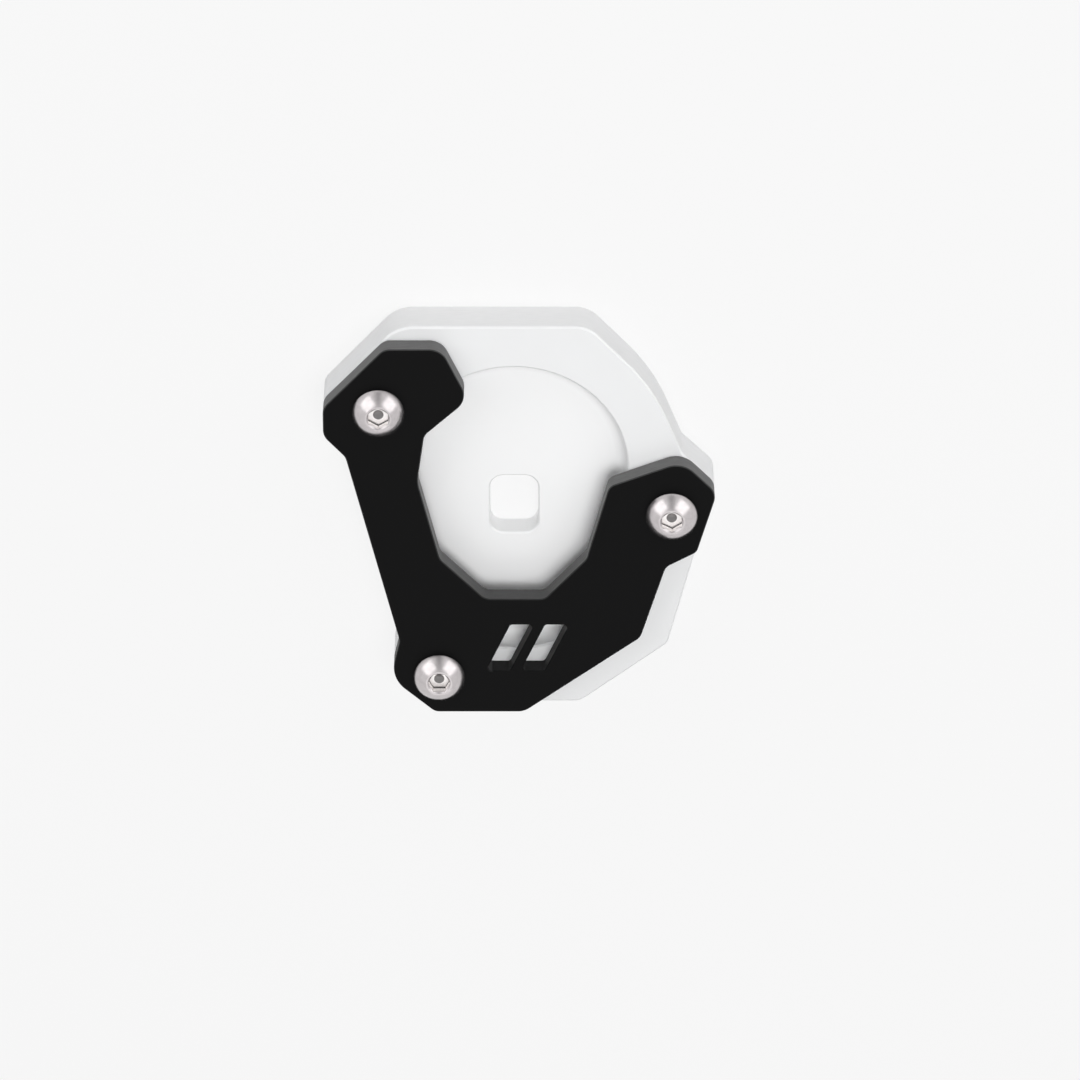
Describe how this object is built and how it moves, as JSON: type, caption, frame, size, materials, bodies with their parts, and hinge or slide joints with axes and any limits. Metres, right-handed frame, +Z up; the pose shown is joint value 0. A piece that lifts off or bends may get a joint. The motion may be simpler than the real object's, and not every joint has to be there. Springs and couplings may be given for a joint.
{
  "type": "side stand foot enlarger",
  "caption": "Flat milled foot that widens a motorcycle's side stand: a base plate with a pocket for the stand's foot, and a clamp plate screwed down over it.",
  "frame": {"origin": "centre of the outer box, at the height of the sole", "axes": "+Z up out of the clamp plate, away from the sole; +Y along the pocket, towards the edge with no clamp plate over it; +X towards the single screw on the bowed side"},
  "size_m": [0.079, 0.0856, 0.0178],
  "materials": {
    "base": "fine satin, clear anodised",
    "clamp": "satin, black anodised",
    "screws": "bright stainless steel"
  },
  "bodies": {
    "root": {"base_plate": "base", "clamp_plate": "clamp", "screw_left": "screws", "screw_right": "screws", "screw_low": "screws"}
  },
  "joints": []
}
